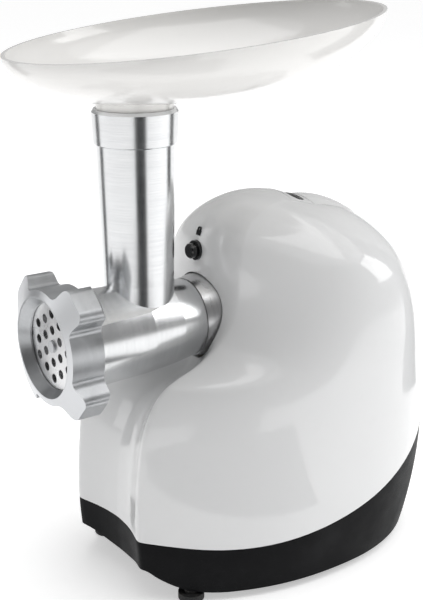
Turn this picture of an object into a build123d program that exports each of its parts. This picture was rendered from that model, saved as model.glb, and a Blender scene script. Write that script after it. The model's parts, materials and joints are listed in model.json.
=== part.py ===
from build123d import *
import math
import os

os.makedirs("parts", exist_ok=True)

# ---------------------------------------------------------------- driving dimensions (mm)
# X to the right, the outlet faces -Y, Z up from the surface that the feet stand on.
AXIS_Z = 181.0          # height of the barrel's axis
PLATE_Y = -139.9        # front face of the perforated plate
TUBE_Y = PLATE_Y + 66.2 # axis of the feed tube
COLLAR_TOP = AXIS_Z + 147.9

PLATE_R = 31.0
PLATE_T = 6.0
HOLE_PITCH = 11.0
HOLE_R = 3.05
PIN_R = 4.0
BORE_R = 26.5
BARREL_R = 32.6
NECK_R = 26.8
FEED_BORE_R = 21.5
RELIEF_R = 22.7
RELIEF_TOP = AXIS_Z + 45.0
SPIGOT_R = 21.5
RUN = 0.06              # radial clearance of a running fit

MOUTH_R = 30.0
WALL = 2.6
BAND_HALF = 40.0        # half width of the hollow front band between the two cheeks
FLOOR_PLATE_Z = 8.0
SEAM_GAP = 0.15
BACK_WALL = 1.8
BACK_GAP = 1.7

STAGE_1_MODULE = 1.0
PINION_TEETH = 9
WHEEL_TEETH = 61
STAGE_2_MODULE = 1.25
SMALL_TEETH = 12
OUTPUT_TEETH = 52
LAYSHAFT_Z = AXIS_Z - STAGE_2_MODULE * (SMALL_TEETH + OUTPUT_TEETH) / 2
MOTOR_Z = LAYSHAFT_Z - STAGE_1_MODULE * (PINION_TEETH + WHEEL_TEETH) / 2

BUTTON_Z = AXIS_Z + 46.5
BUTTON_R = 5.2
BUTTON_HOLE_R = 7.0
SWITCH_Y = PLATE_Y + 191.0
CAP_Z = 261.4
CAP_SLOPE = (0, 1, -0.31)
ROCKER_PIVOT_Z = CAP_Z - 17.2
PIVOT_R = 1.2
GLAND_Z = 62.0
GLAND_BACK = 297.0      # station of the gland's outer face
GLAND_R = 7.0
CORD_R = 3.6
CASE_FOOT_R = 23.0
STATOR_R = 40.0
ROTOR_R = 22.0
ENTRY_ANGLE = 40.0      # turn of the head between the lugs' way in and the locked position
SCREW_R = 1.6
BOARD_Y = PLATE_Y + 176.0
FOOT_PLACES = [(x, PLATE_Y + y) for x in (-56.9, 56.9) for y in (67.3, 244.0)]
POST_PLACES = [(x, PLATE_Y + y) for x in (-66, 66) for y in (98.0, 218.0)]
PLATE_INSET = WALL + 1.2

BARREL_AXIS = Axis((0, 0, AXIS_Z), (0, 1, 0))
BUTTON_AXIS = Axis((0, 0, BUTTON_Z), (0, 1, 0))
GLAND_AXIS = Axis((0, 0, GLAND_Z), (0, 1, 0))
LAYSHAFT_AXIS = Axis((0, 0, LAYSHAFT_Z), (0, 1, 0))
MOTOR_AXIS = Axis((0, 0, MOTOR_Z), (0, 1, 0))
TUBE_AXIS = Axis((0, TUBE_Y, 0), (0, 0, 1))

# stations along the barrel, behind the front face of the plate
KNIFE_T = 5.0
AUGER_FRONT = PLATE_T + KNIFE_T
HEAD_BACK = 103.5
SOCKET_FRONT = 104.0
SOCKET_BACK = 122.0
SPINDLE_FRONT = 119.5
CASE_FRONT = 123.0
CASE_BACK = 166.0
STACK_FRONT = 190.0
STACK_BACK = 230.0


def station(distance, height=AXIS_Z):
    """Plane across the machine, a distance behind the plate; local x is X and local y is Z."""
    return Plane(origin=(0, PLATE_Y + distance, height), x_dir=(1, 0, 0), z_dir=(0, -1, 0))


def save(part, name):
    part.label = name
    export_step(part, f"parts/{name}.step")


def turned(profile, axis):
    """Solid of revolution about a lengthwise axis, from (distance behind the plate, radius) points."""
    height = axis.position.Z
    with BuildPart() as piece:
        with BuildSketch(Plane.YZ):
            with BuildLine():
                Polyline(*[(PLATE_Y + y, height + r) for y, r in profile], close=True)
            make_face()
        revolve(axis=axis)
    return piece.part


def ring(front, back, inner, outer, axis):
    return turned([(front, inner), (back, inner), (back, outer), (front, outer)], axis)


def rod(front, back, radius, axis):
    return turned([(front, 0), (back, 0), (back, radius), (front, radius)], axis)


def gear(module, teeth, front, back, bore, height, phase=0.0):
    """Spur gear with slightly slim, shortened teeth; phase is the first tooth's angle in degrees."""
    pitch_r = module * teeth / 2
    root_r = pitch_r - 1.15 * module
    tip_r = pitch_r + 0.8 * module
    root_half = 0.92 * module
    tip_half = 0.34 * module
    with BuildPart() as piece:
        with BuildSketch(station(front, height)):
            Circle(root_r)
            with PolarLocations(0, teeth, start_angle=phase):
                Polygon(
                    (root_r - 0.3 * module, -root_half),
                    (root_r - 0.3 * module, root_half),
                    (pitch_r, 0.62 * module),
                    (tip_r, tip_half),
                    (tip_r, -tip_half),
                    (pitch_r, -0.62 * module),
                    align=None,
                )
            Circle(bore, mode=Mode.SUBTRACT)
        extrude(amount=-(back - front))
    return piece.part


# ---------------------------------------------------------------- grinding head
with BuildPart() as grinder_head:
    add(
        turned(
            [
                (12, 0), (HEAD_BACK, 0), (HEAD_BACK, NECK_R), (99, NECK_R + 0.6), (84, 29.6), (60, 31.6),
                (12, BARREL_R),
            ],
            BARREL_AXIS,
        )
    )
    # flat shoulders along the top of the barrel
    with BuildSketch(station(16)):
        for side in (-1, 1):
            with Locations(Rot(0, 0, 90 - side * 35)):
                with Locations((BARREL_R + 2.3, 0)):
                    Rectangle(10, 60)
    extrude(amount=-60, mode=Mode.SUBTRACT)
    add(rod(0.6, 17, 34.7, BARREL_AXIS))
    with BuildSketch(Plane.YZ):
        with BuildLine():
            Polyline(
                (TUBE_Y, AXIS_Z),
                (TUBE_Y + 23.6, AXIS_Z),
                (TUBE_Y + 23.6, AXIS_Z + 34),
                (TUBE_Y + 25.4, COLLAR_TOP - 23),
                (TUBE_Y + 27.2, COLLAR_TOP - 22),
                (TUBE_Y + 28, COLLAR_TOP - 2),
                (TUBE_Y + 26.8, COLLAR_TOP),
                (TUBE_Y, COLLAR_TOP),
                close=True,
            )
        make_face()
    revolve(axis=TUBE_AXIS)
    # bayonet spigot and its two lugs at the back
    add(rod(HEAD_BACK, 118.5, SPIGOT_R, BARREL_AXIS))
    with BuildSketch(station(113)):
        for side in (-1, 1):
            with Locations((side * 22.0, 0)):
                Rectangle(4, 9)
    extrude(amount=-3)
    # bores: feed tube with its counterbore, barrel, plate seat, rear bush
    with BuildSketch(Plane.XY.offset(AXIS_Z)):
        with Locations((0, TUBE_Y)):
            Circle(FEED_BORE_R)
    extrude(amount=160, mode=Mode.SUBTRACT)
    with BuildSketch(Plane.XY.offset(AXIS_Z)):
        with Locations((0, TUBE_Y)):
            Circle(RELIEF_R)
    extrude(amount=RELIEF_TOP - AXIS_Z, mode=Mode.SUBTRACT)
    with BuildSketch(Plane.XY.offset(COLLAR_TOP)):
        with Locations((0, TUBE_Y)):
            Circle(25.2)
    extrude(amount=-14, mode=Mode.SUBTRACT)
    barrel_bore = [(-1, 0), (98, 0), (98, 23.6), (84, 24.6), (64, BORE_R), (-1, BORE_R)]
    add(turned(barrel_bore, BARREL_AXIS), mode=Mode.SUBTRACT)
    add(rod(-1, PLATE_T + 0.4, PLATE_R + 0.15, BARREL_AXIS), mode=Mode.SUBTRACT)
    add(rod(97, 120, 13, BARREL_AXIS), mode=Mode.SUBTRACT)
    # seat of the key that stops the plate from turning
    with BuildSketch(station(0)):
        with Locations((0, -PLATE_R - 0.6)):
            Circle(1.5)
    extrude(amount=-PLATE_T - 2, mode=Mode.SUBTRACT)
save(grinder_head.part, "grinder_head")

with BuildPart() as plate_key:
    with BuildSketch(station(0.8)):
        with Locations((0, -PLATE_R - 0.6)):
            Circle(1.5)
    extrude(amount=-PLATE_T - 1)
save(plate_key.part, "plate_key")

rear_bush = ring(98.4, 118, 9 + RUN, 13, BARREL_AXIS)
save(rear_bush, "rear_bush")

with BuildPart() as perforated_plate:
    with BuildSketch(station(0)):
        Circle(PLATE_R)
        Circle(PIN_R + RUN, mode=Mode.SUBTRACT)
        for ring_r, start in ((HOLE_PITCH, 90), (HOLE_PITCH * math.sqrt(3), 60), (2 * HOLE_PITCH, 90)):
            with PolarLocations(ring_r, 6, start_angle=start):
                Circle(HOLE_R, mode=Mode.SUBTRACT)
        with Locations((0, -PLATE_R - 0.6)):
            Circle(1.9, mode=Mode.SUBTRACT)
    extrude(amount=-PLATE_T)
save(perforated_plate.part, "perforated_plate")

with BuildPart() as knife:
    with BuildSketch(station(PLATE_T + 0.1)):
        Circle(9)
        with PolarLocations(0, 4, start_angle=20):
            with Locations((14, 2)):
                Rectangle(22, 7)
        Rectangle(10.2, 10.2, mode=Mode.SUBTRACT)
    extrude(amount=-KNIFE_T + 0.3)
    # each blade is relieved behind its cutting edge
    with BuildSketch(station(PLATE_T + 2.2)):
        with PolarLocations(0, 4, start_angle=20):
            with Locations((18, -1.2)):
                Rectangle(17, 3)
    extrude(amount=-KNIFE_T, mode=Mode.SUBTRACT)
save(knife.part, "knife")

AUGER_LENGTH = 80.0
FLIGHT_PITCH = 26.0
with BuildPart() as auger:
    add(turned([(AUGER_FRONT, 0), (97.5, 0), (97.5, 15), (AUGER_FRONT, 9)], BARREL_AXIS))
    with BuildLine():
        flight_path = Helix(
            FLIGHT_PITCH, AUGER_LENGTH, 8, center=(0, PLATE_Y + AUGER_FRONT + 3, AXIS_Z), direction=(0, 1, 0)
        )
    flight_start = flight_path @ 0
    outwards = flight_start - Vector(0, PLATE_Y + AUGER_FRONT + 3, AXIS_Z)
    with BuildSketch(Plane(origin=flight_start, x_dir=outwards, z_dir=flight_path % 0)):
        with Locations((8, 0)):
            Rectangle(18.5, 3.4)
    sweep(path=flight_path, is_frenet=True)
    swept_space = [(AUGER_FRONT, 0), (97.5, 0), (97.5, 22.9), (84, 23.9), (64, 25.8), (AUGER_FRONT, 25.8)]
    add(turned(swept_space, BARREL_AXIS), mode=Mode.INTERSECT)
    add(rod(97.5, 112, 9, BARREL_AXIS))
    add(rod(-1.6, AUGER_FRONT, PIN_R, BARREL_AXIS))
    with BuildSketch(station(PLATE_T)):
        Rectangle(10, 10)
    extrude(amount=-KNIFE_T)
    with BuildSketch(station(112)):
        RegularPolygon(6.4, 6, major_radius=False)
    extrude(amount=-16)
save(auger.part, "auger")

LOBE_REACH = 51.0
LOBE_ANGLE = 48.0
with BuildPart() as fixing_ring:
    with BuildSketch(station(-7.8)) as ring_outline:
        Circle(38.2)
        with PolarLocations(0, 4, start_angle=LOBE_ANGLE):
            with Locations((LOBE_REACH - 15, 0)):
                RectangleRounded(30, 25, 6)
        fillet(ring_outline.vertices().filter_by(lambda v: 36 < math.hypot(v.X, v.Y) < 40), 6)
    extrude(amount=-24.3)
    # the front face leans back towards the lobes
    lean = [(-7.8, 0), (-7.8, 34.4), (-1.4, 51.5), (14.5, 51.5), (16.5, 49), (16.5, 0)]
    add(turned(lean, BARREL_AXIS), mode=Mode.INTERSECT)
    add(
        turned(
            [(-9, 0), (-9, 33.7), (-7.8, 33.1), (-1.6, 28.6), (-0.3, 28.6), (-0.3, 35), (17, 35), (17, 0)],
            BARREL_AXIS,
        ),
        mode=Mode.SUBTRACT,
    )
save(fixing_ring.part, "fixing_ring")

# ---------------------------------------------------------------- feed tray
RIM_CENTRE = (0, PLATE_Y + 118.0, AXIS_Z + 195.0)
RIM_LENGTH = 136.0
RIM_WIDTH = 100.0
RIM_TILT = 5.7
TRAY_FLOOR = COLLAR_TOP + 4.5
TRAY_SECTIONS = (0.012, 0.05, 0.12, 0.25, 0.42, 0.62, 0.82, 1.0)


def tray_bowl(inset, drop=0.0):
    """Bowl lofted through ellipses that grow and tip backwards towards the rim."""
    with BuildPart() as bowl:
        for h in TRAY_SECTIONS:
            reach = (1 - (1 - h) ** 1.6) ** 0.33
            centre_y = TUBE_Y + (RIM_CENTRE[1] - TUBE_Y) * reach
            height = TRAY_FLOOR + (RIM_CENTRE[2] - TRAY_FLOOR) * h + drop * (1 - h * h)
            tilt = RIM_TILT * h
            level = Plane(origin=(0, centre_y, height), x_dir=(1, 0, 0)).rotated((tilt, 0, 0))
            with BuildSketch(level):
                Ellipse(RIM_WIDTH * reach - inset, RIM_LENGTH * reach - inset)
        loft()
    return bowl.part


with BuildPart() as feed_tray:
    add(tray_bowl(0))
    add(tray_bowl(2.6, 2.6), mode=Mode.SUBTRACT)
    with BuildSketch(Plane.XY.offset(TRAY_FLOOR + 2.6)):
        with Locations((0, TUBE_Y)):
            Circle(25.0)
    extrude(amount=-(TRAY_FLOOR + 2.6 - COLLAR_TOP + 13))
    with BuildSketch(Plane.XY.offset(TRAY_FLOOR + 30)):
        with Locations((0, TUBE_Y)):
            Circle(RELIEF_R)
    extrude(amount=-50, mode=Mode.SUBTRACT)
save(feed_tray.part, "feed_tray")

# ---------------------------------------------------------------- housing skin
# Outlines of the right half as (x, distance behind the plate, z), from the foot upwards: the soft ridge
# between the front band and the cheek, the bottom of the hollow band, and the same two lines at the back.
RIDGE_FRONT = [
    (BAND_HALF, 39, 6), (BAND_HALF, 35, 51), (BAND_HALF, 37.6, 98), (BAND_HALF, 43, 129),
    (BAND_HALF, 56, 150), (BAND_HALF, 80, 160), (BAND_HALF, 98, 169), (BAND_HALF, 111, 182), (BAND_HALF, 119, 204),
    (39.5, 121, 226), (35, 127, 240), (28, 146, 254), (21, 180, 257.6),
]
RIDGE_BACK = [
    (38, 278, 6), (37, 293, 71), (36, 290, 131), (34, 277, 181), (30, 260, 219), (25, 232, 243),
    (21, 202, 251),
]
BAND_FRONT = [
    (0, 47, 6), (0, 44, 51), (0, 46, 86), (0, 52, 111), (0, 64, 128), (0, 82, 136), (0, 98, 141),
    (0, 111, 154), (0, 115.5, 176), (0, 115, 201), (0, 112.5, 226), (0, 117, 243), (0, 136, 258.5),
    (0, 158, 263.5), (0, 180, 261.5),
]
BAND_BACK = [
    (0, 282, 6), (0, 297, 71), (0, 294, 131), (0, 282, 181), (0, 264, 222), (0, 234, 247.5), (0, 202, 255.2),
]
BULGE = 58.0            # how far a cheek stands out beyond its ridge at its widest
WIDEST_Z = 100.0
CROWN_Z = 259.0
ROWS = 44
BAND_STEPS = 8
CHEEK_STEPS = 36


def outline(points):
    return Edge.make_spline([Vector(x, PLATE_Y + y, z) for x, y, z in points])


ridge_front = outline(RIDGE_FRONT)
ridge_back = outline(RIDGE_BACK)
band_front = outline(BAND_FRONT)
band_back = outline(BAND_BACK)


def bulge_at(height):
    if height < WIDEST_Z:
        return BULGE - 6 * ((WIDEST_Z - height) / (WIDEST_Z - 6)) ** 2
    rise = (height - WIDEST_Z) / (CROWN_Z - WIDEST_Z)
    return BULGE * max(0.0, 1 - rise**3) ** 0.55


def skin_row(t):
    """Points round the right half at one level, from the middle of the front to the middle of the back."""
    front, back = ridge_front @ t, ridge_back @ t
    middle_front, middle_back = band_front @ t, band_back @ t
    steps = [k / BAND_STEPS for k in range(BAND_STEPS)]
    points = []
    for v in steps:
        p = middle_front + (front - middle_front) * v**2
        points.append(Vector(front.X * v, p.Y, p.Z))
    swell = bulge_at(front.Z) * (1 - t**30)
    front_power = 2.2 - 0.8 * min(1.0, max(0.0, (front.Z - 190) / 40))
    for k in range(CHEEK_STEPS + 1):
        s = (1 - math.cos(math.pi * k / CHEEK_STEPS)) / 2
        if s < 0.53:
            share = (1 - (1 - s / 0.53) ** front_power) ** 0.93
        else:
            share = (1 - min(1.0, (s - 0.53) / 0.47) ** 2.6) ** 0.8
        base = front + (back - front) * s
        points.append(Vector(base.X + (front.X + swell - base.X) * share, base.Y, base.Z))
    for v in reversed(steps):
        p = middle_back + (back - middle_back) * v**2
        points.append(Vector(back.X * v, p.Y, p.Z))
    for _ in range(3):
        inner = [(a + b * 2 + c) * 0.25 for a, b, c in zip(points, points[1:], points[2:])]
        points = [points[0], *inner, points[-1]]
    return points


def full_row(t):
    """The same level on both halves, open between the two ridges at the back."""
    half = skin_row(t)[:-BAND_STEPS]
    return [Vector(-p.X, p.Y, p.Z) for p in reversed(half[1:])] + half


def moved_inward(grid, depth):
    """The grid carried inwards by a depth along the normals of its surface."""
    last_row, last_column = len(grid) - 1, len(grid[0]) - 1
    moved = []
    for i, row in enumerate(grid):
        line = []
        for j, point in enumerate(row):
            along = row[min(j + 1, last_column)] - row[max(j - 1, 0)]
            upward = grid[min(i + 1, last_row)][j] - grid[max(i - 1, 0)][j]
            line.append(point - along.cross(upward).normalized() * depth)
        moved.append(line)
    return moved


def shell_between(outer_grid, depth):
    """Closed wall between a grid's surface and the same surface moved inwards."""
    grids = (outer_grid, moved_inward(outer_grid, depth))
    outer_face, inner_face = [
        Face.make_surface_from_array_of_points(grid, tol=0.02, min_deg=3, max_deg=3) for grid in grids
    ]
    faces = [outer_face, inner_face]
    for edge in outer_face.edges():
        facing = min(inner_face.edges(), key=lambda other: ((other @ 0.5) - (edge @ 0.5)).length)
        faces.append(Face.make_surface_from_curves(edge, facing))
    return Solid(Shell(faces))


skin_grid = [full_row(k / ROWS) for k in range(ROWS + 1)]
skin = shell_between(skin_grid, WALL)


def side_profile(points, close_z):
    """Solid right across the machine, above or below a line of (distance behind the plate, z)."""
    with BuildPart() as piece:
        with BuildSketch(Plane.YZ):
            with BuildLine():
                line = Spline(*[(PLATE_Y + y, z) for y, z in points])
                Polyline(line @ 1, ((line @ 1).X, close_z), ((line @ 0).X, close_z), line @ 0)
            make_face()
        extrude(amount=120, both=True)
    return piece.part


WAIST = [(5, 45), (36, 45.5), (70, 41), (112, 39.5), (150, 43), (200, 54), (250, 75), (315, 110)]
KEEL = [
    (5, 24), (25, 24.4), (36, 24.6), (40, 23.4), (44, 20), (48, 16.8), (54, 13), (62, 9.4), (74, 6.8),
    (86, 6), (196, 6), (315, 6),
]

with BuildPart() as main_housing:
    add(skin)
    add(side_profile([(y, z + SEAM_GAP) for y, z in WAIST], 300), mode=Mode.INTERSECT)
    # mouth for the socket, and the hole for the lock button
    add(rod(85, 135, MOUTH_R, BARREL_AXIS), mode=Mode.SUBTRACT)
    with BuildSketch(station(100, BUTTON_Z)):
        Circle(BUTTON_HOLE_R)
    extrude(amount=-30, mode=Mode.SUBTRACT)
save(main_housing.part, "main_housing")
with BuildPart() as base_skirt:
    add(skin)
    add(side_profile([(y, z - SEAM_GAP) for y, z in WAIST], -20), mode=Mode.INTERSECT)
    add(side_profile(KEEL, 300), mode=Mode.INTERSECT)
save(base_skirt.part, "base_skirt")


def back_row(t):
    """Points across the strip between the two ridges at the back."""
    edge, middle = ridge_back @ t, band_back @ t
    points = []
    for k in range(-6, 7):
        v = k / 6
        p = middle + (edge - middle) * v**2
        points.append(Vector((edge.X - BACK_GAP) * -v, p.Y, p.Z))
    return points


with BuildPart() as back_cover:
    add(shell_between([back_row(k / 24) for k in range(25)], BACK_WALL))
    with BuildSketch(Plane.XZ):
        with Locations((0, 150)):
            with GridLocations(1, 7, 1, 7):
                SlotOverall(34, 3)
    extrude(amount=-200, mode=Mode.SUBTRACT)
    with BuildSketch(Plane.XZ):
        with Locations((0, GLAND_Z)):
            Circle(GLAND_R + 3.1)
    extrude(amount=-200, mode=Mode.SUBTRACT)
save(back_cover.part, "back_cover")

with BuildPart() as cable_gland:
    add(ring(GLAND_BACK - 24, GLAND_BACK, CORD_R, GLAND_R, GLAND_AXIS))
    add(ring(GLAND_BACK - 2.6, GLAND_BACK, CORD_R, GLAND_R + 3, GLAND_AXIS))
save(cable_gland.part, "cable_gland")

# top cap over the opening where the ridges meet, sloping to the back, with the well of the switch
with BuildPart() as top_cap:
    with BuildSketch(Plane.XY.offset(CAP_Z - 14)):
        with Locations((0, SWITCH_Y)):
            RectangleRounded(37, 15, 7.4)
    extrude(amount=15)
    with BuildSketch(station(180.7, 0)):
        with BuildLine():
            crown = ThreePointArc((-20.2, CAP_Z - 4), (0, CAP_Z), (20.2, CAP_Z - 4))
            Polyline(crown @ 1, (20.2, CAP_Z - 26), (-20.2, CAP_Z - 26), crown @ 0)
        make_face()
    extrude(amount=21.6, dir=CAP_SLOPE, mode=Mode.INTERSECT)
    with BuildSketch(station(180.7, 0)):
        with BuildLine():
            crown = ThreePointArc((-20.2, CAP_Z - 4), (0, CAP_Z), (20.2, CAP_Z - 4))
            inner_crown = ThreePointArc((-20.2, CAP_Z - 6.5), (0, CAP_Z - 2.5), (20.2, CAP_Z - 6.5))
            Line(crown @ 0, inner_crown @ 0)
            Line(crown @ 1, inner_crown @ 1)
        make_face()
    extrude(amount=21.6, dir=CAP_SLOPE)
    with BuildSketch(Plane.XY.offset(CAP_Z - 12.4)):
        with Locations((0, SWITCH_Y)):
            RectangleRounded(34, 12, 5.9)
    extrude(amount=20, mode=Mode.SUBTRACT)
    with BuildSketch(Plane.XY.offset(CAP_Z - 20)):
        with Locations((0, SWITCH_Y)):
            Rectangle(26, 9.4)
    extrude(amount=20, mode=Mode.SUBTRACT)
save(top_cap.part, "top_cap")

with BuildPart() as switch_body:
    with BuildSketch(Plane.XY.offset(CAP_Z - 34)):
        with Locations((0, SWITCH_Y)):
            Rectangle(32, 12)
    extrude(amount=19.8)
    with BuildSketch(Plane.XY.offset(CAP_Z - 23)):
        with Locations((0, SWITCH_Y)):
            Rectangle(27, 9)
    extrude(amount=20, mode=Mode.SUBTRACT)
    with BuildSketch(Plane.XZ.offset(-(SWITCH_Y - 5.5))):
        with Locations((0, ROCKER_PIVOT_Z)):
            Circle(PIVOT_R + 0.15)
    extrude(amount=-11, mode=Mode.SUBTRACT)
    with BuildSketch(Plane.XY.offset(CAP_Z - 42)):
        with Locations((0, SWITCH_Y)):
            with GridLocations(9, 1, 3, 1):
                Rectangle(4, 0.8)
    extrude(amount=8)
save(switch_body.part, "switch_body")

with BuildPart() as switch_rocker:
    with BuildSketch(Plane.XZ.offset(-(SWITCH_Y - 4.2))):
        with BuildLine():
            Polyline((-13.5, CAP_Z - 8.4), (-8, CAP_Z - 19), (8, CAP_Z - 19), (13.5, CAP_Z - 8.4))
            ThreePointArc((13.5, CAP_Z - 8.4), (0, CAP_Z - 4.8), (-13.5, CAP_Z - 8.4))
        make_face()
    extrude(amount=-8.4)
    fillet(switch_rocker.edges().filter_by(Axis.Y).group_by(Axis.Z)[-1], 0.8)
    with BuildSketch(Plane.XZ.offset(-(SWITCH_Y - 5.4))):
        with Locations((0, ROCKER_PIVOT_Z)):
            Circle(PIVOT_R)
    extrude(amount=-10.8)
save(switch_rocker.part, "switch_rocker")

# ---------------------------------------------------------------- base, feet and chassis
with BuildPart() as bottom_plate:
    with BuildSketch(Plane.XY.offset(6)):
        with BuildLine():
            edge_points = moved_inward(skin_grid[:3], PLATE_INSET)[0]
            rim = Spline(*[(p.X, p.Y) for p in edge_points[::4]])
            Line(rim @ 0, rim @ 1)
        make_face()
    extrude(amount=40)
    add(side_profile([(y, z + 2) for y, z in KEEL], 300), mode=Mode.INTERSECT)
    add(side_profile([(y, z + 5) for y, z in KEEL], 300), mode=Mode.SUBTRACT)
    # air slots under the motor
    with BuildSketch(Plane.XY):
        with Locations((0, PLATE_Y + 211)):
            with GridLocations(1, 9, 1, 6):
                SlotOverall(44, 4)
    extrude(amount=30, mode=Mode.SUBTRACT)
    # two saddles carry the motor and a post carries the gear case
    with BuildSketch(Plane.XY.offset(9)):
        with Locations((0, PLATE_Y + STACK_FRONT + 6), (0, PLATE_Y + STACK_BACK - 6)):
            Rectangle(56, 5)
        with Locations((0, PLATE_Y + 145)):
            Rectangle(34, 12)
    extrude(amount=72)
    add(rod(168, 262, STATOR_R + 0.1, MOTOR_AXIS), mode=Mode.SUBTRACT)
    add(rod(CASE_FRONT - 1, CASE_BACK + 1, CASE_FOOT_R + 0.1, MOTOR_AXIS), mode=Mode.SUBTRACT)
    # screw posts for the housing
    with BuildSketch(Plane.XY.offset(9)):
        with Locations(*POST_PLACES):
            Circle(5)
    extrude(amount=30)
    with BuildSketch(Plane.XY):
        with Locations(*POST_PLACES, *FOOT_PLACES):
            Circle(SCREW_R)
    extrude(amount=60, mode=Mode.SUBTRACT)
    # seats for the post screws' heads
    with BuildSketch(Plane.XY):
        with Locations(*POST_PLACES):
            Circle(3.2)
    extrude(amount=FLOOR_PLATE_Z - 0.1, mode=Mode.SUBTRACT)
save(bottom_plate.part, "bottom_plate")

with BuildPart() as rubber_feet:
    with BuildSketch(Plane.XY):
        with Locations(*FOOT_PLACES):
            Circle(9)
    extrude(amount=5.8)
    fillet(rubber_feet.edges().group_by(Axis.Z)[0], 1.5)
    with BuildSketch(Plane.XY.offset(5.8)):
        with Locations(*FOOT_PLACES):
            Circle(4.6)
    extrude(amount=FLOOR_PLATE_Z - 5.8)
    with BuildSketch(Plane.XY.offset(-1)):
        with Locations(*FOOT_PLACES):
            Circle(3.5)
    extrude(amount=6, mode=Mode.SUBTRACT)
    with BuildSketch(Plane.XY):
        with Locations(*FOOT_PLACES):
            Circle(SCREW_R + 0.2)
    extrude(amount=20, mode=Mode.SUBTRACT)
save(rubber_feet.part, "rubber_feet")


def screws(places, head_z, length, head_r):
    """Screws driven upwards, heads down, one solid at each place."""
    with BuildPart() as group:
        with BuildSketch(Plane.XY.offset(head_z)):
            with Locations(*places):
                Circle(head_r)
        extrude(amount=1.8)
        with BuildSketch(Plane.XY.offset(head_z + 1.8)):
            with Locations(*places):
                Circle(SCREW_R - 0.05)
        extrude(amount=length)
        with BuildSketch(Plane.XY.offset(head_z)):
            with Locations(*places):
                Rectangle(4, 0.8)
                Rectangle(0.8, 4)
        extrude(amount=1, mode=Mode.SUBTRACT)
    return group.part


foot_screws = screws(FOOT_PLACES, 3.1, 9, 3.2)
save(foot_screws, "foot_screws")
post_screws = screws(POST_PLACES, FLOOR_PLATE_Z - 1.9, 24, 3.0)
save(post_screws, "post_screws")

# ---------------------------------------------------------------- socket, lock and spindle
with BuildPart() as socket_collar:
    collar_outline = [
        (SOCKET_FRONT, 0),
        (SOCKET_BACK, 0),
        (SOCKET_BACK, 29.4),
        (116, 29.4),
        (SOCKET_FRONT, 27.2),
    ]
    add(turned(collar_outline, BARREL_AXIS))
    add(rod(100, 119.2, SPIGOT_R + RUN, BARREL_AXIS), mode=Mode.SUBTRACT)
    add(rod(119, 123, 15, BARREL_AXIS), mode=Mode.SUBTRACT)
    # bayonet track, with two ways in for the lugs
    add(rod(112.8, 116.2, 24.8, BARREL_AXIS), mode=Mode.SUBTRACT)
    with BuildSketch(station(100)):
        with PolarLocations(21.6, 2, start_angle=ENTRY_ANGLE):
            Rectangle(5.8, 10)
    extrude(amount=-16.2, mode=Mode.SUBTRACT)
save(socket_collar.part, "socket_collar")

with BuildPart() as lock_button:
    button_outline = [(106.4, 0), (119.5, 0), (119.5, BUTTON_R), (107.2, BUTTON_R), (106.4, BUTTON_R - 0.8)]
    add(turned(button_outline, BUTTON_AXIS))
    add(rod(119.5, 128, 2.5, BUTTON_AXIS))
save(lock_button.part, "lock_button")

lock_bezel = ring(111.2, 115.6, BUTTON_R + 0.15, BUTTON_HOLE_R - 0.1, BUTTON_AXIS)
save(lock_bezel, "lock_bezel")

with BuildPart() as lock_spring:
    with BuildLine():
        coil = Helix(1.7, 8.5, 3.4, center=(0, PLATE_Y + 120.1, BUTTON_Z), direction=(0, 1, 0))
    with BuildSketch(Plane(origin=coil @ 0, z_dir=coil % 0)):
        Circle(0.4)
    sweep(path=coil, is_frenet=True)
save(lock_spring.part, "lock_spring")

with BuildPart() as lock_bracket:
    with BuildSketch(station(129, BUTTON_Z)):
        RectangleRounded(26, 12, 3)
        Circle(2.7, mode=Mode.SUBTRACT)
    extrude(amount=-3)
save(lock_bracket.part, "lock_bracket")

symbol_plane = Plane(origin=(0, PLATE_Y + 114.9, BUTTON_Z + 12.2), x_dir=(1, 0, 0), z_dir=(0, -0.966, 0.256))
with BuildPart() as lock_symbol:
    with BuildSketch(symbol_plane):
        with Locations((0, 1.9)):
            SlotOverall(4.4, 3.6, rotation=90)
            SlotOverall(2.8, 1.8, rotation=90, mode=Mode.SUBTRACT)
        with Locations((0, -0.3)):
            Rectangle(4.8, 3.6)
    extrude(amount=-3)
    add(skin, mode=Mode.SUBTRACT)
save(lock_symbol.part, "lock_symbol")

with BuildPart() as output_spindle:
    add(rod(SPINDLE_FRONT, 136, 12, BARREL_AXIS))
    add(rod(136, 150, 9, BARREL_AXIS))
    add(rod(150, CASE_BACK - 0.5, 7, BARREL_AXIS))
    with BuildSketch(station(SPINDLE_FRONT - 1)):
        RegularPolygon(6.4 + RUN, 6, major_radius=False)
    extrude(amount=-(129 - SPINDLE_FRONT), mode=Mode.SUBTRACT)
save(output_spindle.part, "output_spindle")

spindle_bush = ring(CASE_FRONT + 0.2, 135.8, 12 + RUN, 17, BARREL_AXIS)
save(spindle_bush, "spindle_bush")

# ---------------------------------------------------------------- gear case and train
def case_outline(front, depth, grow):
    """Rounded slab that wraps the output wheel, the layshaft wheel and the motor's nose."""
    with BuildPart() as slab:
        with BuildSketch(station(front, AXIS_Z)):
            Circle(37 + grow)
            with Locations((0, LAYSHAFT_Z - AXIS_Z)):
                Circle(34 + grow)
            with Locations((0, MOTOR_Z - AXIS_Z)):
                Circle(CASE_FOOT_R - 3 + grow)
            make_hull()
        extrude(amount=-depth)
    return slab.part


with BuildPart() as gear_case:
    add(case_outline(CASE_FRONT, 29, 3))
    add(case_outline(CASE_FRONT + 3, 30, 0), mode=Mode.SUBTRACT)
    add(rod(CASE_FRONT, 135.8, 20, BARREL_AXIS))
    add(rod(CASE_FRONT - 1, 137, 17, BARREL_AXIS), mode=Mode.SUBTRACT)
    add(ring(CASE_FRONT + 1, 136.5, 4, 8, LAYSHAFT_AXIS))
save(gear_case.part, "gear_case")

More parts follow.
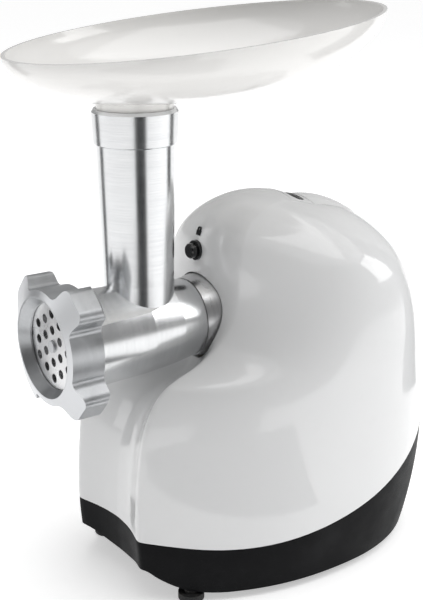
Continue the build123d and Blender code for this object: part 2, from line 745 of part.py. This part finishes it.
with BuildPart() as case_cover:
    add(case_outline(152.2, 13.8, 3))
    add(case_outline(151, 12, 0), mode=Mode.SUBTRACT)
    add(ring(158.6, CASE_BACK, 7 + RUN, 10.5, BARREL_AXIS))
    add(rod(158, 170, 7 + RUN, BARREL_AXIS), mode=Mode.SUBTRACT)
    add(rod(158, 170, 11.2, MOTOR_AXIS), mode=Mode.SUBTRACT)
save(case_cover.part, "case_cover")

layshaft = rod(CASE_FRONT + 3.2, 162.8, 4, LAYSHAFT_AXIS)
save(layshaft, "layshaft")

output_gear = gear(STAGE_2_MODULE, OUTPUT_TEETH, 138, 149, 9, AXIS_Z, 90)
save(output_gear, "output_gear")

# the big wheel and the small pinion are one moulding; the pinion meshes below the output wheel
with BuildPart() as lay_gear:
    add(gear(STAGE_2_MODULE, SMALL_TEETH, 137.2, 152.6, 4 + RUN, LAYSHAFT_Z, 90 - 180 / SMALL_TEETH))
    add(gear(STAGE_1_MODULE, WHEEL_TEETH, 152.6, 158, 4 + RUN, LAYSHAFT_Z, -90))
save(lay_gear.part, "lay_gear")

motor_pinion = gear(STAGE_1_MODULE, PINION_TEETH, 152.8, 160, 2.2, MOTOR_Z, 90 - 180 / PINION_TEETH)
save(motor_pinion, "motor_pinion")

# ---------------------------------------------------------------- motor
with BuildPart() as rotor_shaft:
    add(rod(152.8, 160, 2.2, MOTOR_AXIS))
    add(rod(160, 274, 4, MOTOR_AXIS))
save(rotor_shaft.part, "rotor_shaft")

with BuildPart() as rotor_core:
    with BuildSketch(station(STACK_FRONT, MOTOR_Z)):
        Circle(ROTOR_R)
        Circle(4, mode=Mode.SUBTRACT)
        with PolarLocations(ROTOR_R - 4.5, 12):
            Rectangle(9, 3, mode=Mode.SUBTRACT)
    extrude(amount=-(STACK_BACK - STACK_FRONT))
save(rotor_core.part, "rotor_core")

with BuildPart() as rotor_windings:
    add(turned([(182, 4), (189.9, 4), (189.9, 19), (186, 20), (182, 14)], MOTOR_AXIS))
    add(turned([(230.1, 4), (238, 4), (238, 14), (234, 20), (230.1, 19)], MOTOR_AXIS))
save(rotor_windings.part, "rotor_windings")

with BuildPart() as commutator:
    with BuildSketch(station(239, MOTOR_Z)):
        Circle(11)
        Circle(4, mode=Mode.SUBTRACT)
        with PolarLocations(10.6, 24):
            Rectangle(1.2, 0.5, mode=Mode.SUBTRACT)
    extrude(amount=-11)
save(commutator.part, "commutator")

with BuildPart() as stator_core:
    with BuildSketch(station(STACK_FRONT, MOTOR_Z)):
        Circle(STATOR_R)
        Circle(ROTOR_R + 0.6, mode=Mode.SUBTRACT)
        with GridLocations(46, 50, 2, 2):
            Rectangle(6.8, 8.2, mode=Mode.SUBTRACT)
        with GridLocations(1, 2 * STATOR_R, 1, 2):
            Rectangle(46, 8, mode=Mode.SUBTRACT)
        with Locations((33, 0), (-33, 0)):
            Circle(2.1, mode=Mode.SUBTRACT)
    extrude(amount=-(STACK_BACK - STACK_FRONT))
save(stator_core.part, "stator_core")

with BuildPart() as field_coils:
    for side in (-1, 1):
        with BuildSketch(Plane.XY.offset(MOTOR_Z + side * 25)):
            with Locations((0, PLATE_Y + (STACK_FRONT + STACK_BACK) / 2)):
                RectangleRounded(51.6, STACK_BACK - STACK_FRONT + 16, 5)
                RectangleRounded(40.6, STACK_BACK - STACK_FRONT + 1, 0.4, mode=Mode.SUBTRACT)
        extrude(amount=3.8, both=True)
save(field_coils.part, "field_coils")


def end_bracket(front, thickness):
    with BuildPart() as bracket:
        with BuildSketch(station(front, MOTOR_Z)):
            Circle(STATOR_R)
            with PolarLocations(24, 4, start_angle=45):
                Circle(9, mode=Mode.SUBTRACT)
            Circle(11.05, mode=Mode.SUBTRACT)
            with Locations((33, 0), (-33, 0)):
                Circle(2.1, mode=Mode.SUBTRACT)
        extrude(amount=-thickness)
    return bracket.part


front_bracket = end_bracket(170.5, 6)
save(front_bracket, "front_bracket")
rear_bracket = end_bracket(254.2, 6)
save(rear_bracket, "rear_bracket")

with BuildPart() as motor_bearings:
    add(ring(170.6, 176.4, 4 + RUN, 11, MOTOR_AXIS))
    add(ring(254.3, 260.1, 4 + RUN, 11, MOTOR_AXIS))
save(motor_bearings.part, "motor_bearings")

with BuildPart() as motor_spacers:
    for side in (-33, 33):
        add(ring(176.6, STACK_FRONT, 2.1, 3.6, MOTOR_AXIS).moved(Location((side, 0, 0))))
        add(ring(STACK_BACK, 254.1, 2.1, 3.6, MOTOR_AXIS).moved(Location((side, 0, 0))))
save(motor_spacers.part, "motor_spacers")

with BuildPart() as motor_screws:
    for side in (-33, 33):
        add(rod(168.5, 260.3, 1.9, MOTOR_AXIS).moved(Location((side, 0, 0))))
        add(rod(260.3, 263, 3.4, MOTOR_AXIS).moved(Location((side, 0, 0))))
save(motor_screws.part, "motor_screws")

with BuildPart() as cooling_fan:
    add(ring(264, 266, 4, 31, MOTOR_AXIS))
    add(ring(264, 274, 4, 8, MOTOR_AXIS))
    with BuildSketch(station(266, MOTOR_Z)):
        with PolarLocations(19.5, 9):
            with Locations(Rot(0, 0, 20)):
                Rectangle(21, 1.6)
    extrude(amount=-7)
save(cooling_fan.part, "cooling_fan")

with BuildPart() as brush_holders:
    for side in (-1, 1):
        with BuildSketch(station(240.5, MOTOR_Z)):
            with Locations((side * 20.5, 0)):
                Rectangle(16, 11)
                Rectangle(18, 7.2, mode=Mode.SUBTRACT)
        extrude(amount=-9)
        with BuildSketch(station(249.5, MOTOR_Z)):
            with Locations((side * 21.5, 0)):
                Rectangle(14, 11)
        extrude(amount=-4.6)
save(brush_holders.part, "brush_holders")

with BuildPart() as carbon_brushes:
    for side in (-1, 1):
        with BuildSketch(station(241.5, MOTOR_Z)):
            with Locations((side * 18.2, 0)):
                Rectangle(14, 6.8)
        extrude(amount=-7)
save(carbon_brushes.part, "carbon_brushes")

# ---------------------------------------------------------------- electronics
with BuildPart() as control_board:
    with BuildSketch(Plane.YZ.offset(-56)):
        with Locations((BOARD_Y, 60)):
            Rectangle(44, 30)
    extrude(amount=1.6)
    with BuildSketch(Plane.YZ.offset(-54.4)):
        with Locations((BOARD_Y - 9, 62)):
            Rectangle(14, 12)
        with Locations((BOARD_Y + 9, 54), (BOARD_Y + 9, 66)):
            Circle(4)
    extrude(amount=9)
save(control_board.part, "control_board")

with BuildPart() as board_bracket:
    with BuildSketch(Plane.XY.offset(FLOOR_PLATE_Z + 3.3)):
        with Locations((-58.2, BOARD_Y)):
            Rectangle(4, 40)
    extrude(amount=60)
save(board_bracket.part, "board_bracket")
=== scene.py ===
"""Electric meat grinder: the studio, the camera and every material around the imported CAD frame.

All lengths are metres in the frame of the CAD part: +Z up, the outlet faces -Y, the floor is z = 0.
"""

import json
import math

import bmesh
import bpy
from mathutils import Matrix, Vector


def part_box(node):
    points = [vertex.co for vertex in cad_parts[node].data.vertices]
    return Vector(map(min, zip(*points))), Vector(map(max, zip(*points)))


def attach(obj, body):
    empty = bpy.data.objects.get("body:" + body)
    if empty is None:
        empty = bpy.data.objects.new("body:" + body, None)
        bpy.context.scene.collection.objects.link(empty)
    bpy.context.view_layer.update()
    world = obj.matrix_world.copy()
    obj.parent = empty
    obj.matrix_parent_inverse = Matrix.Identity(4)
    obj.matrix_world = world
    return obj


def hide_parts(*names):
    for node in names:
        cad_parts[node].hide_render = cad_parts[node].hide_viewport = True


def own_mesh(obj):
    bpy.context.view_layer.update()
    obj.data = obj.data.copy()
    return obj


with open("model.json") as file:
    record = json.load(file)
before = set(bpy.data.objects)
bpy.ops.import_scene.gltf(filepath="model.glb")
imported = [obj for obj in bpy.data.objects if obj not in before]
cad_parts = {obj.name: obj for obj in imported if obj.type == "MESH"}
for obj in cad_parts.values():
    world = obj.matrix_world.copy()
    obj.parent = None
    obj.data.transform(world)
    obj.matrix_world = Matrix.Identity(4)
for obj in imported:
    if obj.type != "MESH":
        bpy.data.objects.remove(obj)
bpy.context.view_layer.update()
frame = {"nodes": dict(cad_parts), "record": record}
nodes = frame["nodes"]

# Places worked out from the frame. The feed tube's axis stands TUBE_SETBACK behind the plate's front, and
# the tube starts TUBE_FOOT_RISE above the barrel's axis.
TUBE_SETBACK = 0.0662
TUBE_FOOT_RISE = 0.034
PLATE_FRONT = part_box("perforated_plate")[0].y
BARREL_AXIS_Z = sum(corner.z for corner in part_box("perforated_plate")) / 2
TUBE_FOOT_Z = BARREL_AXIS_Z + TUBE_FOOT_RISE
TUBE_TOP_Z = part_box("grinder_head")[1].z
TUBE_Y = PLATE_FRONT + TUBE_SETBACK
MIDDLE = Vector((0, 0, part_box("feed_tray")[1].z / 2))

# ------------------------------------------------------------------ shader building blocks


def new_material(name):
    """Empty material with a Principled shader; returns (material, node tree, shader)."""
    made = bpy.data.materials.new(name)
    made.use_nodes = True
    tree = made.node_tree
    return made, tree, tree.nodes["Principled BSDF"]


def place(tree, stretch=(1, 1, 1)):
    """Object coordinates, stretched along the axes."""
    coords = tree.nodes.new("ShaderNodeTexCoord")
    mapping = tree.nodes.new("ShaderNodeMapping")
    mapping.inputs["Scale"].default_value = stretch
    tree.links.new(coords.outputs["Object"], mapping.inputs["Vector"])
    return mapping.outputs["Vector"]


def noise(tree, vector, scale, detail=4.0, rough=0.55, warp=0.0):
    """Cloudy noise between 0 and 1."""
    node = tree.nodes.new("ShaderNodeTexNoise")
    node.inputs["Scale"].default_value = scale
    node.inputs["Detail"].default_value = detail
    node.inputs["Roughness"].default_value = rough
    node.inputs["Distortion"].default_value = warp
    tree.links.new(vector, node.inputs["Vector"])
    return node.outputs["Fac"]


def cells(tree, vector, scale):
    """Distance to the nearest of many scattered points."""
    node = tree.nodes.new("ShaderNodeTexVoronoi")
    node.inputs["Scale"].default_value = scale
    tree.links.new(vector, node.inputs["Vector"])
    return node.outputs["Distance"]


def remap(tree, value, low, high, to_low=0.0, to_high=1.0):
    """Maps low..high of a value onto to_low..to_high, clamped."""
    node = tree.nodes.new("ShaderNodeMapRange")
    node.inputs["From Min"].default_value = low
    node.inputs["From Max"].default_value = high
    node.inputs["To Min"].default_value = to_low
    node.inputs["To Max"].default_value = to_high
    tree.links.new(value, node.inputs["Value"])
    return node.outputs["Result"]


def blend_colours(tree, factor, first, second):
    """Mixes two colours, each a tuple or another colour output."""
    node = tree.nodes.new("ShaderNodeMix")
    node.data_type = "RGBA"
    for socket, colour in ((node.inputs[6], first), (node.inputs[7], second)):
        if isinstance(colour, tuple):
            socket.default_value = (*colour, 1.0)
        else:
            tree.links.new(colour, socket)
    tree.links.new(factor, node.inputs[0])
    return node.outputs[2]


def blend_values(tree, factor, first, second):
    """Mixes two values."""
    node = tree.nodes.new("ShaderNodeMix")
    tree.links.new(factor, node.inputs[0])
    tree.links.new(first, node.inputs[2])
    tree.links.new(second, node.inputs[3])
    return node.outputs[0]


def combine(tree, operation, first, second):
    """Arithmetic on two values, each a number or an output."""
    node = tree.nodes.new("ShaderNodeMath")
    node.operation = operation
    for socket, value in ((node.inputs[0], first), (node.inputs[1], second)):
        if isinstance(value, (int, float)):
            socket.default_value = value
        else:
            tree.links.new(value, socket)
    return node.outputs["Value"]


def height_above(tree, axis):
    """Object coordinate along an axis: 0 is X, 1 is Y, 2 is Z."""
    split = tree.nodes.new("ShaderNodeSeparateXYZ")
    tree.links.new(place(tree), split.inputs["Vector"])
    return split.outputs[axis]


def bump(tree, height, depth, under=None):
    """Normal from a height field whose full range is a depth in metres."""
    node = tree.nodes.new("ShaderNodeBump")
    node.inputs["Strength"].default_value = 1.0
    node.inputs["Distance"].default_value = depth
    tree.links.new(height, node.inputs["Height"])
    if under is not None:
        tree.links.new(under, node.inputs["Normal"])
    return node.outputs["Normal"]


# ------------------------------------------------------------------ materials


def gloss_plastic(name, colour, shade, shine=(0.06, 0.16), dust=0.04):
    """Injection-moulded gloss plastic: faint flow marks, orange peel, hairline scuffs and a little dust."""
    made, tree, shader = new_material(name)
    flow = noise(tree, place(tree, (1, 1, 2.4)), 9, 3, 0.5, 0.6)
    peel = noise(tree, place(tree), 210, 2)
    scuffs = noise(tree, place(tree, (1, 0.06, 1)), 900, 5, 0.7)
    scuff_mask = remap(tree, scuffs, 0.64, 0.74)
    body = blend_colours(tree, flow, colour, shade)
    grime = remap(tree, noise(tree, place(tree), 45, 6, 0.65), 0.6, 0.8, 0.0, dust)
    shader_colour = blend_colours(tree, grime, body, (0.42, 0.4, 0.37))
    tree.links.new(shader_colour, shader.inputs["Base Color"])
    smooth = remap(tree, flow, 0.3, 0.7, *shine)
    scuffed = combine(tree, "MULTIPLY", scuff_mask, 0.16)
    tree.links.new(combine(tree, "ADD", smooth, scuffed), shader.inputs["Roughness"])
    tree.links.new(bump(tree, scuffs, 0.000004, bump(tree, peel, 0.00003)), shader.inputs["Normal"])
    shader.inputs["IOR"].default_value = 1.5
    shader.inputs["Coat Weight"].default_value = 0.35
    shader.inputs["Coat Roughness"].default_value = 0.05
    return made


def grained_plastic(name, colour, worn, grain=1500, depth=0.00007, rough=(0.42, 0.62)):
    """Spark-eroded matt plastic: pitted grain, polished where it has been touched."""
    made, tree, shader = new_material(name)
    pits = cells(tree, place(tree), grain)
    cloud = noise(tree, place(tree), 24, 5, 0.6)
    rub = remap(tree, cloud, 0.55, 0.75)
    tree.links.new(blend_colours(tree, rub, colour, worn), shader.inputs["Base Color"])
    tree.links.new(remap(tree, cloud, 0.3, 0.7, rough[1], rough[0]), shader.inputs["Roughness"])
    tree.links.new(bump(tree, pits, depth, bump(tree, cloud, 0.0001)), shader.inputs["Normal"])
    shader.inputs["Specular IOR Level"].default_value = 0.1
    return made


def turned_metal(name, colour, stain, along, rough=(0.16, 0.3), groove=0.000004, cloudy=0.5, split_z=None):
    """Metal with fine lathe or brush lines, packed closely along one axis and running round it.

    Above split_z the lines run round the vertical instead.
    """
    made, tree, shader = new_material(name)
    stretch = [14, 14, 14]
    stretch[along] = 2400
    lines = noise(tree, place(tree, tuple(stretch)), 1.6, 4, 0.7)
    if split_z is not None:
        upper = noise(tree, place(tree, (14, 14, 2400)), 1.6, 4, 0.7)
        above = remap(tree, height_above(tree, 2), split_z - 0.002, split_z + 0.002)
        lines = blend_values(tree, above, lines, upper)
    cloud = noise(tree, place(tree), 30, 5, 0.6, 0.4)
    spots = remap(tree, noise(tree, place(tree), 160, 3, 0.6), 0.62, 0.78)
    base = blend_colours(tree, remap(tree, lines, 0.25, 0.75), stain, colour)
    spotted = combine(tree, "MULTIPLY", spots, cloudy * 0.5)
    tree.links.new(blend_colours(tree, spotted, base, stain), shader.inputs["Base Color"])
    sheen = remap(tree, cloud, 0.25, 0.75, *rough)
    lined = combine(tree, "MULTIPLY", lines, 0.06)
    tree.links.new(combine(tree, "ADD", sheen, lined), shader.inputs["Roughness"])
    tree.links.new(bump(tree, lines, groove, bump(tree, cloud, 0.00006)), shader.inputs["Normal"])
    shader.inputs["Metallic"].default_value = 1.0
    return made


def cast_metal(name, colour, stain, machined_and_lit, rough=(0.26, 0.42)):
    """Tumbled aluminium casting with a machined front: fine skin, a few inclusions and tool marks. The front
    faces are also painted lighter than the sides, a painted highlight.
    """
    made, tree, shader = new_material(name)
    skin = noise(tree, place(tree), 700, 4, 0.6)
    lines = noise(tree, place(tree, (260, 10, 260)), 1.4, 4, 0.7)
    cloud = noise(tree, place(tree), 38, 5, 0.65, 0.5)
    surface = tree.nodes.new("ShaderNodeNewGeometry")
    facing = tree.nodes.new("ShaderNodeSeparateXYZ")
    tree.links.new(surface.outputs["Normal"], facing.inputs["Vector"])
    # Faces turned towards -Y take the lighter colour: a machined face, and also a painted highlight that
    # makes the front lighter than the darker cast sides
    front = remap(tree, facing.outputs["Y"], -0.8, -0.9)
    base = blend_colours(tree, remap(tree, cloud, 0.3, 0.7), stain, colour)
    pitted = blend_colours(tree, remap(tree, skin, 0.68, 0.8), base, stain)
    tree.links.new(blend_colours(tree, front, pitted, machined_and_lit), shader.inputs["Base Color"])
    sheen = remap(tree, cloud, 0.25, 0.75, *rough)
    lined = combine(tree, "MULTIPLY", lines, 0.08)
    tree.links.new(combine(tree, "ADD", sheen, lined), shader.inputs["Roughness"])
    tree.links.new(bump(tree, skin, 0.00003, bump(tree, lines, 0.00001)), shader.inputs["Normal"])
    shader.inputs["Metallic"].default_value = 1.0
    return made


def rubber(name, colour, dusty):
    """Moulded rubber with a bloom of dust."""
    made, tree, shader = new_material(name)
    bloom = noise(tree, place(tree), 130, 6, 0.7)
    fine = noise(tree, place(tree), 1800, 3)
    dust = remap(tree, bloom, 0.45, 0.8)
    tree.links.new(blend_colours(tree, dust, colour, dusty), shader.inputs["Base Color"])
    tree.links.new(remap(tree, bloom, 0.3, 0.7, 0.62, 0.85), shader.inputs["Roughness"])
    tree.links.new(bump(tree, fine, 0.00005), shader.inputs["Normal"])
    return made


# The wave texture draws about this many bands per metre at scale 1
BANDS_AT_SCALE_1 = 3.2


def banded(name, colour, gap, axis, pitch, metallic, rough, relief):
    """Stacked sheets or wound wire: even bands along one axis, slightly irregular in tone."""
    made, tree, shader = new_material(name)
    wave = tree.nodes.new("ShaderNodeTexWave")
    wave.bands_direction = "XYZ"[axis]
    wave.inputs["Scale"].default_value = 1 / pitch / BANDS_AT_SCALE_1
    wave.inputs["Distortion"].default_value = 0.4
    tree.links.new(place(tree), wave.inputs["Vector"])
    cloud = noise(tree, place(tree), 90, 5, 0.6)
    tone = combine(tree, "MULTIPLY", wave.outputs["Fac"], remap(tree, cloud, 0.2, 0.8, 0.75, 1.0))
    tree.links.new(blend_colours(tree, tone, gap, colour), shader.inputs["Base Color"])
    tree.links.new(remap(tree, cloud, 0.3, 0.7, rough, rough + 0.15), shader.inputs["Roughness"])
    tree.links.new(bump(tree, wave.outputs["Fac"], relief), shader.inputs["Normal"])
    shader.inputs["Metallic"].default_value = metallic
    return made


def nylon(name, colour, shade):
    """Natural engineering plastic: waxy, a little translucent, with flow marks and grease."""
    made, tree, shader = new_material(name)
    flow = noise(tree, place(tree), 55, 4, 0.5, 0.7)
    grease = remap(tree, noise(tree, place(tree), 120, 5, 0.6), 0.58, 0.7)
    tree.links.new(blend_colours(tree, flow, colour, shade), shader.inputs["Base Color"])
    greased = combine(tree, "MULTIPLY", grease, 0.3)
    tree.links.new(combine(tree, "SUBTRACT", 0.5, greased), shader.inputs["Roughness"])
    tree.links.new(bump(tree, flow, 0.00008), shader.inputs["Normal"])
    shader.inputs["Subsurface Weight"].default_value = 0.1
    shader.inputs["Subsurface Radius"].default_value = (0.002, 0.002, 0.0015)
    return made


def circuit_board(name):
    """Green solder mask over copper tracks."""
    made, tree, shader = new_material(name)
    tracks = cells(tree, place(tree), 260)
    track_mask = remap(tree, tracks, 0.28, 0.36)
    mask_colour = blend_colours(tree, track_mask, (0.035, 0.16, 0.06), (0.06, 0.25, 0.1))
    tree.links.new(mask_colour, shader.inputs["Base Color"])
    tree.links.new(remap(tree, tracks, 0.2, 0.6, 0.25, 0.42), shader.inputs["Roughness"])
    tree.links.new(bump(tree, track_mask, 0.00004), shader.inputs["Normal"])
    return made


white_shell = gloss_plastic("white_plastic", (0.81, 0.813, 0.815), (0.785, 0.789, 0.793))
tray_shell = gloss_plastic("tray_plastic", (0.84, 0.832, 0.815), (0.815, 0.805, 0.787), shine=(0.1, 0.2))
black_grain = grained_plastic("black_plastic", (0.0035, 0.0037, 0.0045), (0.007, 0.0074, 0.0085))
black_gloss = gloss_plastic("gloss_black", (0.008, 0.008, 0.009), (0.013, 0.013, 0.014), dust=0.02)
black_rubber = rubber("rubber_black", (0.012, 0.012, 0.012), (0.05, 0.048, 0.045))
polished_head = turned_metal(
    "cast_aluminium_polished",
    (0.82, 0.825, 0.83),
    (0.6, 0.61, 0.62),
    1,
    rough=(0.14, 0.22),
    split_z=TUBE_FOOT_Z,
)
# The third colour is the machined front, painted lighter than the sides as a painted highlight
satin_ring = cast_metal(
    "cast_aluminium", (0.56, 0.57, 0.585), (0.42, 0.43, 0.44), (0.62, 0.63, 0.645), rough=(0.24, 0.36)
)
turned_collar = turned_metal(
    "cast_aluminium_turned", (0.8, 0.8, 0.8), (0.55, 0.55, 0.56), 1, rough=(0.2, 0.32)
)
ground_plate = turned_metal(
    "plate_steel", (0.9, 0.9, 0.9), (0.74, 0.74, 0.75), 0, rough=(0.2, 0.32), groove=0.000003
)
plain_steel = turned_metal("steel", (0.62, 0.62, 0.63), (0.42, 0.42, 0.43), 1, rough=(0.24, 0.4))
turned_brass = turned_metal("brass", (0.75, 0.56, 0.26), (0.5, 0.36, 0.16), 1, rough=(0.25, 0.4))
bush_plastic = nylon("bush_plastic", (0.62, 0.6, 0.54), (0.54, 0.52, 0.46))
gear_plastic = nylon("gear_plastic", (0.72, 0.71, 0.62), (0.62, 0.6, 0.5))
lamination = banded("lamination", (0.24, 0.24, 0.25), (0.07, 0.07, 0.08), 1, 0.0006, 0.8, 0.42, 0.00012)
copper_wire = banded("copper", (0.62, 0.25, 0.1), (0.22, 0.07, 0.03), 0, 0.0007, 0.9, 0.3, 0.0002)
carbon = grained_plastic("carbon", (0.02, 0.02, 0.021), (0.05, 0.05, 0.052), grain=2200)
board = circuit_board("board")

material_of_slot = {
    "white_plastic": white_shell,
    "tray_plastic": tray_shell,
    "black_plastic": black_grain,
    "gloss_black": black_gloss,
    "rubber_black": black_rubber,
    "cast_aluminium": satin_ring,
    "plate_steel": ground_plate,
    "steel": plain_steel,
    "brass": turned_brass,
    "bush_plastic": bush_plastic,
    "gear_plastic": gear_plastic,
    "lamination": lamination,
    "copper": copper_wire,
    "carbon": carbon,
    "board": board,
}
material_of_node = {"grinder_head": polished_head, "socket_collar": turned_collar}

slot_of_node = {entry["node"]: entry["material_slot"] for entry in frame["record"]["subparts"]}
for name, node in nodes.items():
    chosen = material_of_node.get(name) or material_of_slot[slot_of_node[name]]
    node.data.materials.clear()
    node.data.materials.append(chosen)

# ------------------------------------------------------------------ lock spring

WIRE_R = 0.0004
COIL_R = 0.0034
COIL_TURNS = 5
STEPS_PER_TURN = 28
WIRE_SIDES = 10


def coil_spring(name, front, back):
    """Round wire wound round an axis along Y, between two end points, as a closed mesh."""
    wire = bmesh.new()
    length = back.y - front.y - 2 * WIRE_R
    steps = COIL_TURNS * STEPS_PER_TURN
    last = None
    for step in range(steps + 1):
        turn = 2 * math.pi * step / STEPS_PER_TURN
        outward = Vector((math.cos(turn), 0, math.sin(turn)))
        middle = Vector((front.x, front.y + WIRE_R + length * step / steps, front.z)) + COIL_R * outward
        section = []
        for side in range(WIRE_SIDES):
            angle = 2 * math.pi * side / WIRE_SIDES
            offset = math.cos(angle) * outward + math.sin(angle) * Vector((0, 1, 0))
            section.append(wire.verts.new(middle + WIRE_R * offset))
        if last is None:
            wire.faces.new(section)
        else:
            for side in range(WIRE_SIDES):
                after = (side + 1) % WIRE_SIDES
                wire.faces.new((last[side], section[side], section[after], last[after]))
        last = section
    wire.faces.new(tuple(reversed(last)))
    bmesh.ops.recalc_face_normals(wire, faces=wire.faces)
    mesh = bpy.data.meshes.new(name)
    wire.to_mesh(mesh)
    wire.free()
    for face in mesh.polygons:
        face.use_smooth = True
    made = bpy.data.objects.new(name, mesh)
    bpy.context.scene.collection.objects.link(made)
    return made


# The wound spring takes the place of the rigid one.
spring_low, spring_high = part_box("lock_spring")
spring_axis = (spring_low + spring_high) / 2
spring = coil_spring(
    "button_spring",
    Vector((spring_axis.x, spring_low.y, spring_axis.z)),
    Vector((spring_axis.x, spring_high.y, spring_axis.z)),
)
spring.data.materials.append(plain_steel)
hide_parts("lock_spring")
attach(spring, "housing")
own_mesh(spring)

# ------------------------------------------------------------------ studio


def flat_piece(name, width, depth, cuts=1):
    """Subdivided rectangle in its own XY plane."""
    mesh = bpy.data.meshes.new(name)
    grid = bmesh.new()
    bmesh.ops.create_grid(grid, x_segments=cuts, y_segments=cuts, size=0.5)
    bmesh.ops.scale(grid, vec=(width, depth, 1), verts=grid.verts)
    grid.to_mesh(mesh)
    grid.free()
    made = bpy.data.objects.new(name, mesh)
    bpy.context.scene.collection.objects.link(made)
    return made


def aimed(place_at, target):
    """Matrix that stands at a point with its -Z axis towards a target."""
    turn = (Vector(target) - Vector(place_at)).to_track_quat("-Z", "Y")
    return Matrix.Translation(place_at) @ turn.to_matrix().to_4x4()


def softbox(name, place_at, target, width, height, power, tint=(1, 1, 1)):
    """Rectangular area light aimed at a point."""
    lamp = bpy.data.lights.new(name, "AREA")
    lamp.shape = "RECTANGLE"
    lamp.size = width
    lamp.size_y = height
    lamp.energy = power
    lamp.color = tint
    made = bpy.data.objects.new(name, lamp)
    made.matrix_world = aimed(place_at, target)
    bpy.context.scene.collection.objects.link(made)
    return made


FLOOR_SIDE = 60
FLOOR_GLOW = 0.46

floor = flat_piece("floor", FLOOR_SIDE, FLOOR_SIDE, 4)
floor_paint, floor_tree, floor_shader = new_material("floor_paper")
paper = noise(floor_tree, place(floor_tree), 3, 4, 0.5)
paper_colour = blend_colours(floor_tree, paper, (0.93, 0.93, 0.93), (0.91, 0.91, 0.912))
floor_tree.links.new(paper_colour, floor_shader.inputs["Base Color"])
floor_shader.inputs["Roughness"].default_value = 0.9
floor_shader.inputs["Emission Color"].default_value = (1, 1, 1, 1)
floor_shader.inputs["Emission Strength"].default_value = FLOOR_GLOW
floor_shader.inputs["Specular IOR Level"].default_value = 0.1
floor.data.materials.append(floor_paint)

CAMERA_AT = Vector((0.62874, PLATE_FRONT - 0.32083, BARREL_AXIS_Z + 0.25239))
CAMERA_YAW = 0.9533
CAMERA_PITCH = 0.307
CAMERA_ROLL = 0.0038
LENS = 69.0
ROOM_BRIGHT = 0.42
ROOM_DIM = 0.12
ROOM_BRIGHT_UP_TO = 0.2
ROOM_DIM_FROM = 0.95
CARD_REACH = 0.5
STRIPE_BEARING = 13
RIGHT_EDGE_BEARING = 112
LEFT_EDGE_BEARING = -118
OVERHEAD_POWER = 0.7
OVERHEAD_SPREAD = 70

tube_middle = Vector((0, TUBE_Y, (TUBE_FOOT_Z + TUBE_TOP_Z) / 2))
CAMERA_BEARING = math.atan2(CAMERA_AT.y - TUBE_Y, CAMERA_AT.x)


def felt(name, grey):
    """Matt grey cloth for the cards that shape the reflections."""
    made, tree, shader = new_material(name)
    weave = noise(tree, place(tree), 60, 4)
    dark = (grey, grey * 1.02, grey * 1.05)
    light = tuple(1.2 * part for part in dark)
    tree.links.new(blend_colours(tree, weave, dark, light), shader.inputs["Base Color"])
    shader.inputs["Roughness"].default_value = 1.0
    shader.inputs["Specular IOR Level"].default_value = 0.0
    return made


def card(name, width, height, grey, at, target):
    """Card that is seen in reflections only. It stands at a point and faces a target."""
    made = flat_piece(name, width, height)
    made.data.materials.append(felt(name + "_felt", grey))
    made.matrix_world = aimed(at, target)
    made.visible_camera = False
    made.visible_diffuse = False
    made.visible_shadow = False
    made.visible_transmission = False


def round_tube(degrees, reach, height):
    """Point at a bearing from the camera's direction, round the feed tube."""
    bearing = CAMERA_BEARING + math.radians(degrees)
    return Vector((reach * math.cos(bearing), TUBE_Y + reach * math.sin(bearing), height))


# The cards draw the dark stripe and the edge lines down the feed tube, and the dark underside of the barrel
card("stripe_card", 0.27, 0.5, 0.045, round_tube(STRIPE_BEARING, CARD_REACH, 0.27), round_tube(0, 0, 0.27))
for edge_name, bearing in (("right_edge_card", RIGHT_EDGE_BEARING), ("left_edge_card", LEFT_EDGE_BEARING)):
    card(edge_name, 0.16, 0.6, 0.12, round_tube(bearing, CARD_REACH, 0.3), round_tube(0, 0, 0.3))
card("under_barrel_card", 0.5, 0.34, 0.12, Vector((0.34, -0.2, 0.015)), Vector((0.33, -0.2, 1.0)))

softbox("key_right", (1.2, 2.1, 1.4), MIDDLE, width=1.3, height=1.5, power=22)
softbox("fill_left", (-1.5, -1.7, 0.9), MIDDLE, width=0.7, height=1.5, power=4)
softbox("top_panel", (0.1, 0.3, 2.0), MIDDLE, width=1.7, height=1.3, power=11)

sun = bpy.data.objects.new("overhead", bpy.data.lights.new("overhead", "SUN"))
sun.data.energy = OVERHEAD_POWER
sun.data.angle = math.radians(OVERHEAD_SPREAD)
sun.matrix_world = aimed((0.3, 0.5, 3.0), (0, 0, 0))
bpy.context.scene.collection.objects.link(sun)

# The room is white all round and dim on the camera's side
world = bpy.data.worlds.new("studio")
bpy.context.scene.world = world
world.use_nodes = True
room = world.node_tree
background = room.nodes["Background"]
background.inputs["Color"].default_value = (1.0, 1.0, 1.0, 1)
direction = room.nodes.new("ShaderNodeTexCoord")
facing = room.nodes.new("ShaderNodeVectorMath")
facing.operation = "DOT_PRODUCT"
facing.inputs[1].default_value = (CAMERA_AT - tube_middle).normalized()
room.links.new(direction.outputs["Generated"], facing.inputs[0])
room_strength = remap(room, facing.outputs["Value"], ROOM_BRIGHT_UP_TO, ROOM_DIM_FROM, ROOM_BRIGHT, ROOM_DIM)
room.links.new(room_strength, background.inputs["Strength"])
bpy.context.scene.view_settings.view_transform = "Standard"

# ------------------------------------------------------------------ camera
lens = bpy.data.cameras.new("camera")
lens.lens = LENS
lens.sensor_width = 36.0
lens.clip_end = 100
camera = bpy.data.objects.new("camera", lens)
bpy.context.scene.collection.objects.link(camera)
forward = Vector(
    (
        -math.sin(CAMERA_YAW) * math.cos(CAMERA_PITCH),
        math.cos(CAMERA_YAW) * math.cos(CAMERA_PITCH),
        -math.sin(CAMERA_PITCH),
    )
)
right = Vector((math.cos(CAMERA_YAW), math.sin(CAMERA_YAW), 0))
turned_right = Matrix.Rotation(CAMERA_ROLL, 3, forward) @ right
upward = turned_right.cross(forward)
facing_turn = Matrix((turned_right, upward, -forward)).transposed().to_4x4()
camera.matrix_world = Matrix.Translation(CAMERA_AT) @ facing_turn
bpy.context.scene.camera = camera
